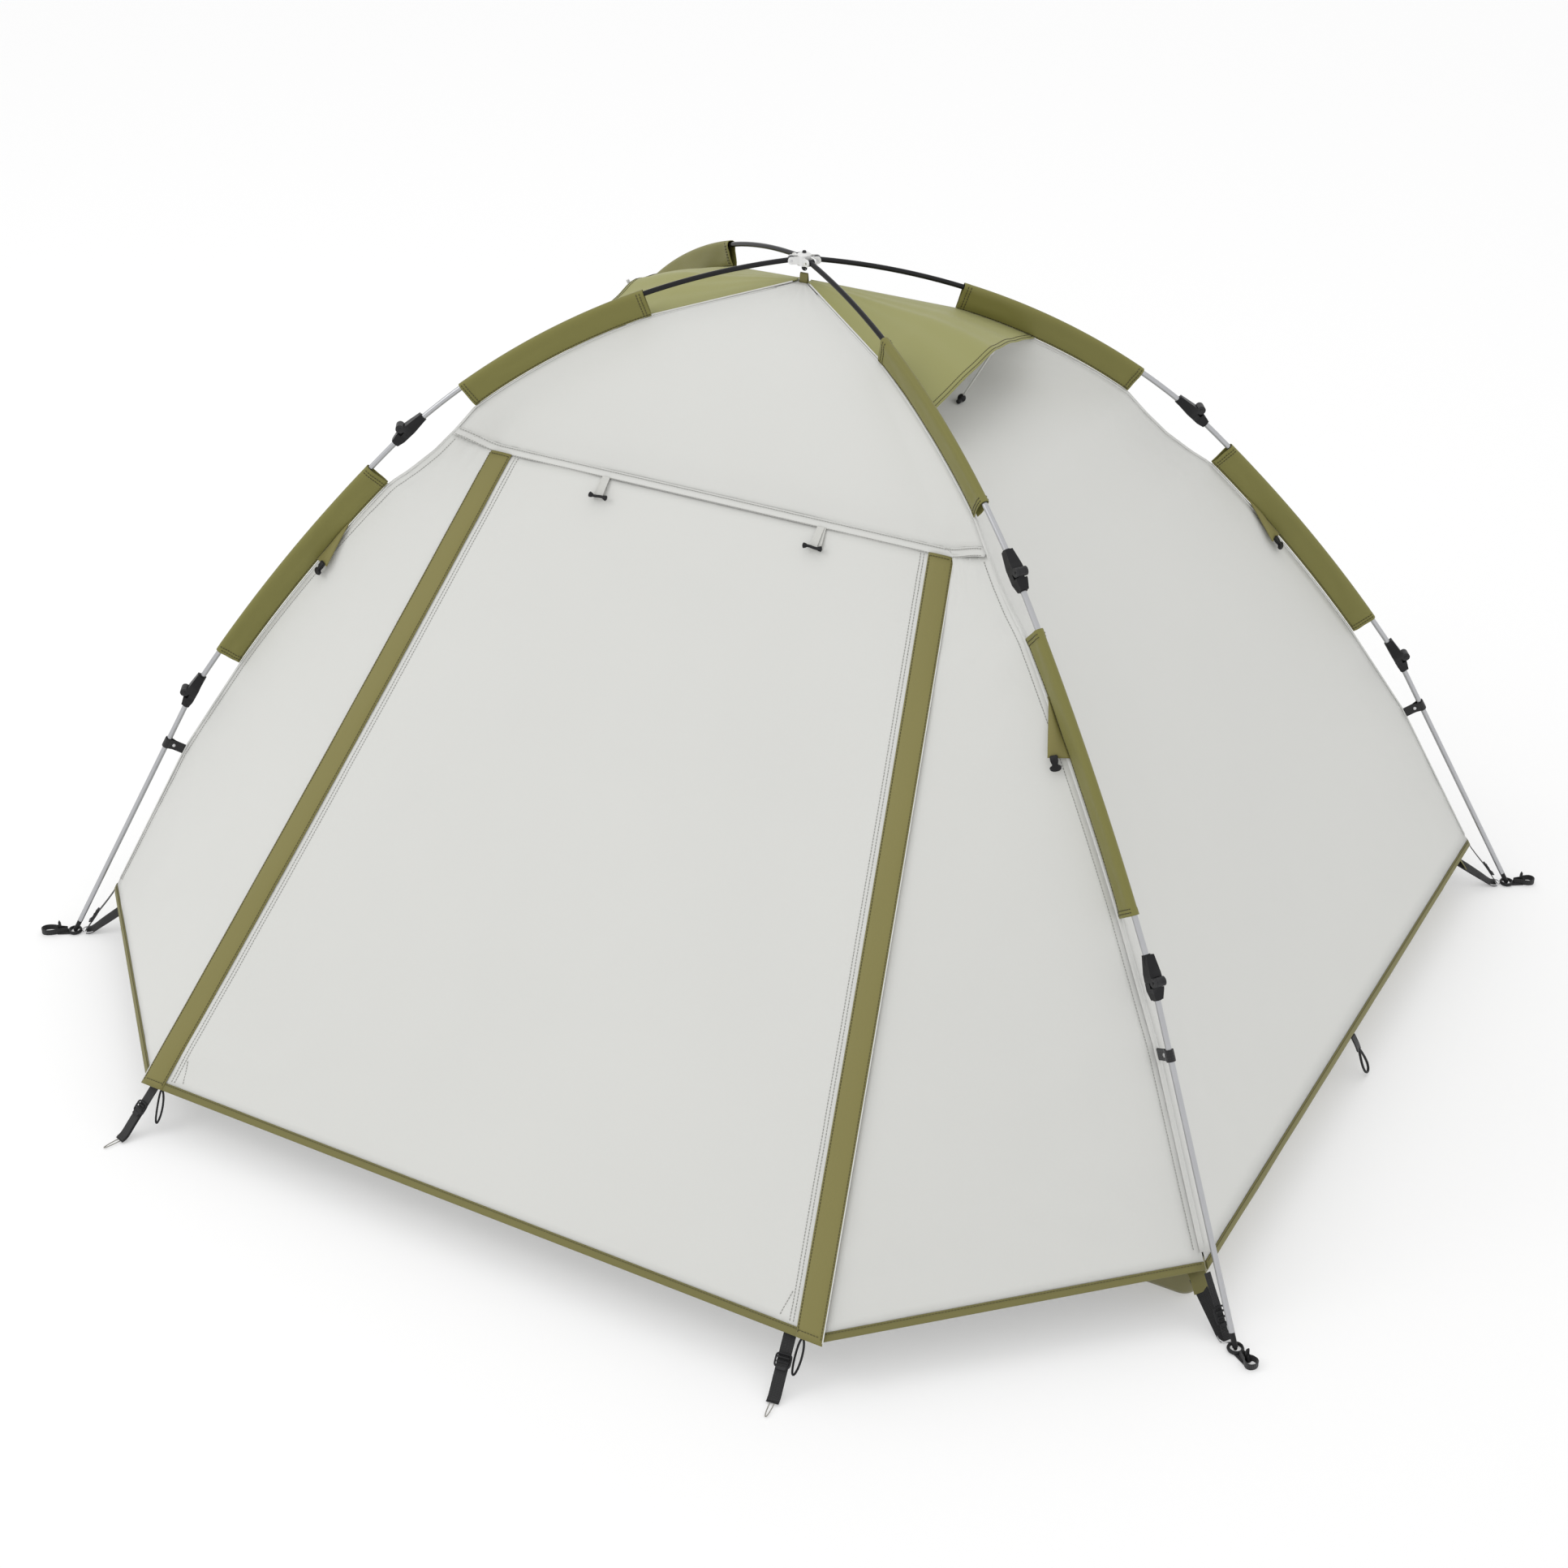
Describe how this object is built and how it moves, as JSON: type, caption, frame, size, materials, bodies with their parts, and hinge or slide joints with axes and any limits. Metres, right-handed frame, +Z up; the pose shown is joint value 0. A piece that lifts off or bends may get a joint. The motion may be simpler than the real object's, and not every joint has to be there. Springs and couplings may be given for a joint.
{
  "type": "dome tent with outside folding frame",
  "caption": "Dome tent: a sewn fly with end doors and vent hoods, hung under an outside frame of hinged poles that folds down round a central hub.",
  "frame": {"origin": "on the ground under the hub, at the middle of the footprint", "axes": "+X towards the right closed side, -Y towards the front door, +Z up"},
  "size_m": [2.4374, 2.4186, 1.3132],
  "materials": {
    "fly_cloth": "matte",
    "olive_cloth": "matte",
    "hem_tape": "matte",
    "floor_cloth": "satin",
    "inner_cloth": "matte",
    "black_pole": "gloss",
    "aluminium_tube": "satin",
    "black_plastic": "satin",
    "hub_plastic": "gloss",
    "pin_steel": "satin",
    "webbing": "matte",
    "zip_metal": "satin",
    "prop_plastic": "satin"
  },
  "bodies": {
    "canopy": {"side_panels": "fly_cloth", "top_panels": "fly_cloth", "wing_panels": "fly_cloth", "vent_hoods": "olive_cloth", "fly_hem": "hem_tape", "groundsheet": "floor_cloth", "inner_tent": "inner_cloth", "corner_straps": "webbing", "stake_straps": "webbing"},
    "hub": {"hub_body": "hub_plastic", "hub_pins": "pin_steel", "peak_hook": "black_plastic"},
    "upper_leg_fr": {"upper_pole_fr": "black_pole", "upper_tube_fr": "aluminium_tube", "upper_elbow_fr": "black_plastic", "upper_sleeve_fr": "olive_cloth"},
    "mid_leg_fr": {"mid_pole_fr": "aluminium_tube", "mid_elbows_fr": "black_plastic", "mid_sleeve_fr": "olive_cloth"},
    "lower_leg_fr": {"lower_pole_fr": "aluminium_tube", "lower_fittings_fr": "black_plastic"},
    "upper_leg_rr": {"upper_pole_rr": "black_pole", "upper_tube_rr": "aluminium_tube", "upper_elbow_rr": "black_plastic", "upper_sleeve_rr": "olive_cloth"},
    "mid_leg_rr": {"mid_pole_rr": "aluminium_tube", "mid_elbows_rr": "black_plastic", "mid_sleeve_rr": "olive_cloth"},
    "lower_leg_rr": {"lower_pole_rr": "aluminium_tube", "lower_fittings_rr": "black_plastic"},
    "upper_leg_rl": {"upper_pole_rl": "black_pole", "upper_tube_rl": "aluminium_tube", "upper_elbow_rl": "black_plastic", "upper_sleeve_rl": "olive_cloth"},
    "mid_leg_rl": {"mid_pole_rl": "aluminium_tube", "mid_elbows_rl": "black_plastic", "mid_sleeve_rl": "olive_cloth"},
    "lower_leg_rl": {"lower_pole_rl": "aluminium_tube", "lower_fittings_rl": "black_plastic"},
    "upper_leg_fl": {"upper_pole_fl": "black_pole", "upper_tube_fl": "aluminium_tube", "upper_elbow_fl": "black_plastic", "upper_sleeve_fl": "olive_cloth"},
    "mid_leg_fl": {"mid_pole_fl": "aluminium_tube", "mid_elbows_fl": "black_plastic", "mid_sleeve_fl": "olive_cloth"},
    "lower_leg_fl": {"lower_pole_fl": "aluminium_tube", "lower_fittings_fl": "black_plastic"},
    "door_front": {"front_door": "fly_cloth", "front_flaps": "olive_cloth", "front_toggles": "black_plastic"},
    "door_rear": {"rear_door": "fly_cloth", "rear_flaps": "olive_cloth", "rear_toggles": "black_plastic"},
    "prop_right": {"vent_prop_right": "prop_plastic"},
    "prop_left": {"vent_prop_left": "prop_plastic"},
    "zip_fr": {"zip_slider_fr": "zip_metal"},
    "zip_rr": {"zip_slider_rr": "zip_metal"},
    "zip_rl": {"zip_slider_rl": "zip_metal"},
    "zip_fl": {"zip_slider_fl": "zip_metal"}
  },
  "joints": [
    {"name": "frame_fold", "type": "slide", "parent": "canopy", "child": "hub", "axis": [0, 0, -1], "range_m": [0, 0.5], "deforming": ["side_panels", "top_panels", "wing_panels", "vent_hoods", "fly_hem", "inner_tent", "corner_straps", "front_door", "rear_door", "front_flaps", "rear_flaps", "upper_sleeve_fr", "mid_sleeve_fr", "upper_sleeve_rr", "mid_sleeve_rr", "upper_sleeve_rl", "mid_sleeve_rl", "upper_sleeve_fl", "mid_sleeve_fl"]},
    {"name": "hub_pivot_fr", "type": "hinge", "parent": "hub", "child": "upper_leg_fr", "pos_m": [0.0185, -0.0119, 1.298], "axis": [0.541, 0.841, 0], "range_deg": [0, 61.5]},
    {"name": "upper_elbow_fr", "type": "hinge", "parent": "upper_leg_fr", "child": "mid_leg_fr", "pos_m": [0.58467, -0.37607, 1.01388], "axis": [-0.541, -0.841, 0], "range_deg": [0, 186.5]},
    {"name": "lower_elbow_fr", "type": "hinge", "parent": "mid_leg_fr", "child": "lower_leg_fr", "pos_m": [0.94226, -0.60608, 0.51508], "axis": [-0.5591, -0.8284, 0.0356], "range_deg": [0, 190.5]},
    {"name": "hub_pivot_rr", "type": "hinge", "parent": "hub", "child": "upper_leg_rr", "pos_m": [0.0185, 0.0119, 1.298], "axis": [-0.541, 0.841, 0], "range_deg": [0, 61.5]},
    {"name": "upper_elbow_rr", "type": "hinge", "parent": "upper_leg_rr", "child": "mid_leg_rr", "pos_m": [0.58467, 0.37607, 1.01388], "axis": [0.541, -0.841, 0], "range_deg": [0, 186.5]},
    {"name": "lower_elbow_rr", "type": "hinge", "parent": "mid_leg_rr", "child": "lower_leg_rr", "pos_m": [0.94226, 0.60608, 0.51508], "axis": [0.5219, -0.8522, 0.0356], "range_deg": [0, 190.5]},
    {"name": "hub_pivot_rl", "type": "hinge", "parent": "hub", "child": "upper_leg_rl", "pos_m": [-0.0185, 0.0119, 1.298], "axis": [-0.541, -0.841, 0], "range_deg": [0, 61.5]},
    {"name": "upper_elbow_rl", "type": "hinge", "parent": "upper_leg_rl", "child": "mid_leg_rl", "pos_m": [-0.58467, 0.37607, 1.01388], "axis": [0.541, 0.841, 0], "range_deg": [0, 186.5]},
    {"name": "lower_elbow_rl", "type": "hinge", "parent": "mid_leg_rl", "child": "lower_leg_rl", "pos_m": [-0.94226, 0.60608, 0.51508], "axis": [0.5591, 0.8284, 0.0356], "range_deg": [0, 190.5]},
    {"name": "hub_pivot_fl", "type": "hinge", "parent": "hub", "child": "upper_leg_fl", "pos_m": [-0.0185, -0.0119, 1.298], "axis": [0.541, -0.841, 0], "range_deg": [0, 61.5]},
    {"name": "upper_elbow_fl", "type": "hinge", "parent": "upper_leg_fl", "child": "mid_leg_fl", "pos_m": [-0.58467, -0.37607, 1.01388], "axis": [-0.541, 0.841, 0], "range_deg": [0, 186.5]},
    {"name": "lower_elbow_fl", "type": "hinge", "parent": "mid_leg_fl", "child": "lower_leg_fl", "pos_m": [-0.94226, -0.60608, 0.51508], "axis": [-0.5219, 0.8522, 0.0356], "range_deg": [0, 190.5]},
    {"name": "front_door_swing", "type": "hinge", "parent": "canopy", "child": "door_front", "pos_m": [0, -0.308, 0.98], "axis": [1, 0, 0], "range_deg": [-80, 0]},
    {"name": "rear_door_swing", "type": "hinge", "parent": "canopy", "child": "door_rear", "pos_m": [0, 0.308, 0.98], "axis": [-1, 0, 0], "range_deg": [-80, 0]},
    {"name": "vent_prop_right", "type": "hinge", "parent": "canopy", "child": "prop_right", "pos_m": [0.3, 0, 1.109], "axis": [0, 1, 0], "range_deg": [0, 65]},
    {"name": "vent_prop_left", "type": "hinge", "parent": "canopy", "child": "prop_left", "pos_m": [-0.3, 0, 1.109], "axis": [0, -1, 0], "range_deg": [0, 65]},
    {"name": "zip_fr", "type": "slide", "parent": "canopy", "child": "zip_fr", "axis": [-0.1732, 0.662, 0.7292], "range_m": [0, 1.12]},
    {"name": "zip_rr", "type": "slide", "parent": "canopy", "child": "zip_rr", "axis": [-0.1732, -0.662, 0.7292], "range_m": [0, 1.12]},
    {"name": "zip_rl", "type": "slide", "parent": "canopy", "child": "zip_rl", "axis": [0.1732, -0.662, 0.7292], "range_m": [0, 1.12]},
    {"name": "zip_fl", "type": "slide", "parent": "canopy", "child": "zip_fl", "axis": [0.1732, 0.662, 0.7292], "range_m": [0, 1.12]}
  ],
  "couplings": [
    {"joint": "hub_pivot_fr", "follows": "frame_fold", "rad_per_m": 2.1293},
    {"joint": "upper_elbow_fr", "follows": "frame_fold", "rad_per_m": 6.4926},
    {"joint": "lower_elbow_fr", "follows": "frame_fold", "rad_per_m": 6.6323},
    {"joint": "hub_pivot_rr", "follows": "frame_fold", "rad_per_m": 2.1293},
    {"joint": "upper_elbow_rr", "follows": "frame_fold", "rad_per_m": 6.4926},
    {"joint": "lower_elbow_rr", "follows": "frame_fold", "rad_per_m": 6.6323},
    {"joint": "hub_pivot_rl", "follows": "frame_fold", "rad_per_m": 2.1293},
    {"joint": "upper_elbow_rl", "follows": "frame_fold", "rad_per_m": 6.4926},
    {"joint": "lower_elbow_rl", "follows": "frame_fold", "rad_per_m": 6.6323},
    {"joint": "hub_pivot_fl", "follows": "frame_fold", "rad_per_m": 2.1293},
    {"joint": "upper_elbow_fl", "follows": "frame_fold", "rad_per_m": 6.4926},
    {"joint": "lower_elbow_fl", "follows": "frame_fold", "rad_per_m": 6.6323}
  ]
}
